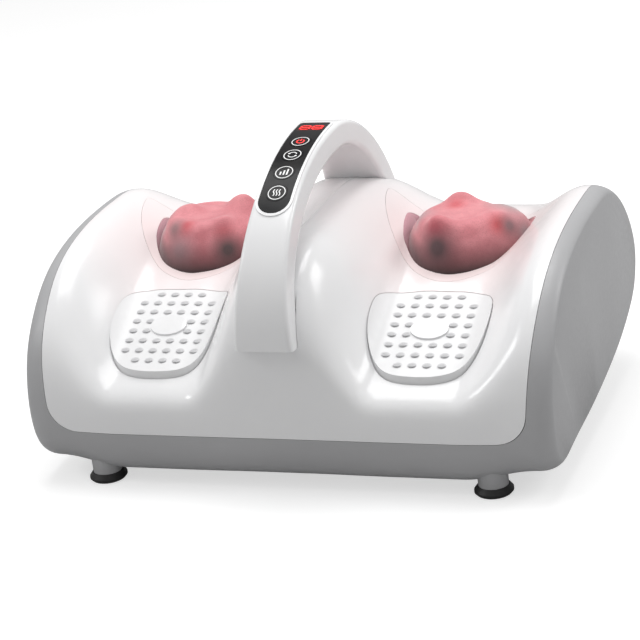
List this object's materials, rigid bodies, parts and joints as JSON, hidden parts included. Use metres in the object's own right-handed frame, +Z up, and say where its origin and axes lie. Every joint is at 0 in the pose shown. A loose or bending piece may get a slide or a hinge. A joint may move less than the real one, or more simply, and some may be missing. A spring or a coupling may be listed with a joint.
{
  "type": "foot massager",
  "caption": "Electric foot massager with two open foot wells, turning kneading heads under mesh covers, textured sole plates and an arched carrying handle with a key panel",
  "frame": {"origin": "on the floor under the middle of the body", "axes": "+Z up, the front that faces the user looks along -Y, +X is to the user's right when they sit in front and face the machine's back"},
  "size_m": [0.44, 0.3341, 0.2549],
  "materials": {
    "white_gloss": "glossy moulded",
    "grey_satin": "satin moulded",
    "soft_white": "soft-touch, with oval bumps",
    "pad_gloss": "glossy",
    "black_lens": "high gloss",
    "display_red": "tinted window",
    "fabric_red": "fine stretch mesh",
    "rubber_black": "matt",
    "black_plastic": "matt moulded",
    "board_green": "solder mask",
    "lamp_red": "clear red",
    "steel": "turned",
    "plated_sheet": "zinc plated",
    "bronze": "sintered",
    "nylon": "natural"
  },
  "bodies": {
    "base": {"case_screws": "steel", "chassis_plate": "plated_sheet", "chassis_screws": "steel", "control_board": "board_green", "control_panel": "black_lens", "cover_ring_left": "black_plastic", "cover_ring_right": "black_plastic", "display_module": "black_plastic", "display_window": "display_red", "gear_bracket_left": "plated_sheet", "gear_bracket_right": "plated_sheet", "gear_motor_left": "plated_sheet", "gear_motor_right": "plated_sheet", "handle_inner": "white_gloss", "handle_outer": "white_gloss", "handle_screws": "steel", "head_cover_left": "fabric_red", "head_cover_right": "fabric_red", "head_insert_left": "white_gloss", "head_insert_right": "white_gloss", "heat_lamps_left": "lamp_red", "heat_lamps_right": "lamp_red", "heater_board_left": "board_green", "heater_board_right": "board_green", "key_board": "board_green", "lower_shell": "grey_satin", "panel_trim": "white_gloss", "power_inlet": "black_plastic", "rubber_foot_front_left": "rubber_black", "rubber_foot_front_right": "rubber_black", "rubber_foot_rear_left": "rubber_black", "rubber_foot_rear_right": "rubber_black", "shaft_bushes_left": "bronze", "shaft_bushes_right": "bronze", "sole_pad_left": "pad_gloss", "sole_pad_right": "pad_gloss", "sole_plate_left": "soft_white", "sole_plate_right": "soft_white", "tact_switches": "black_plastic", "top_cover": "white_gloss"},
    "head_right": {"drive_shaft_right": "steel", "kneading_disc_right": "nylon", "kneading_nodes_right": "nylon", "output_gear_right": "nylon"},
    "pinion_right": {"motor_pinion_right": "steel"},
    "head_left": {"drive_shaft_left": "steel", "kneading_disc_left": "nylon", "kneading_nodes_left": "nylon", "output_gear_left": "nylon"},
    "pinion_left": {"motor_pinion_left": "steel"},
    "key_power": {"key_power": "black_lens"},
    "key_rotate": {"key_rotate": "black_lens"},
    "key_level": {"key_level": "black_lens"},
    "key_heat": {"key_heat": "black_lens"}
  },
  "joints": [
    {"name": "head_right_turn", "type": "hinge", "parent": "base", "child": "head_right", "pos_m": [0.111, 0.01, 0.1], "axis": [0, 0, 1], "continuous": true},
    {"name": "pinion_right_turn", "type": "hinge", "parent": "base", "child": "pinion_right", "pos_m": [0.111, -0.03, 0.1], "axis": [0, 0, 1], "continuous": true},
    {"name": "head_left_turn", "type": "hinge", "parent": "base", "child": "head_left", "pos_m": [-0.111, 0.01, 0.1], "axis": [0, 0, 1], "continuous": true},
    {"name": "pinion_left_turn", "type": "hinge", "parent": "base", "child": "pinion_left", "pos_m": [-0.111, -0.03, 0.1], "axis": [0, 0, 1], "continuous": true},
    {"name": "key_power_press", "type": "slide", "parent": "base", "child": "key_power", "axis": [0, 0.1596, -0.9872], "range_m": [0, 0.0006], "stiffness_N_per_m": 1500},
    {"name": "key_rotate_press", "type": "slide", "parent": "base", "child": "key_rotate", "axis": [0, 0.2573, -0.9663], "range_m": [0, 0.0006], "stiffness_N_per_m": 1500},
    {"name": "key_level_press", "type": "slide", "parent": "base", "child": "key_level", "axis": [0, 0.3667, -0.9303], "range_m": [0, 0.0006], "stiffness_N_per_m": 1500},
    {"name": "key_heat_press", "type": "slide", "parent": "base", "child": "key_heat", "axis": [0, 0.4795, -0.8775], "range_m": [0, 0.0006], "stiffness_N_per_m": 1500}
  ],
  "couplings": [
    {"joint": "pinion_right_turn", "follows": "head_right_turn", "ratio": -3},
    {"joint": "pinion_left_turn", "follows": "head_left_turn", "ratio": -3}
  ]
}
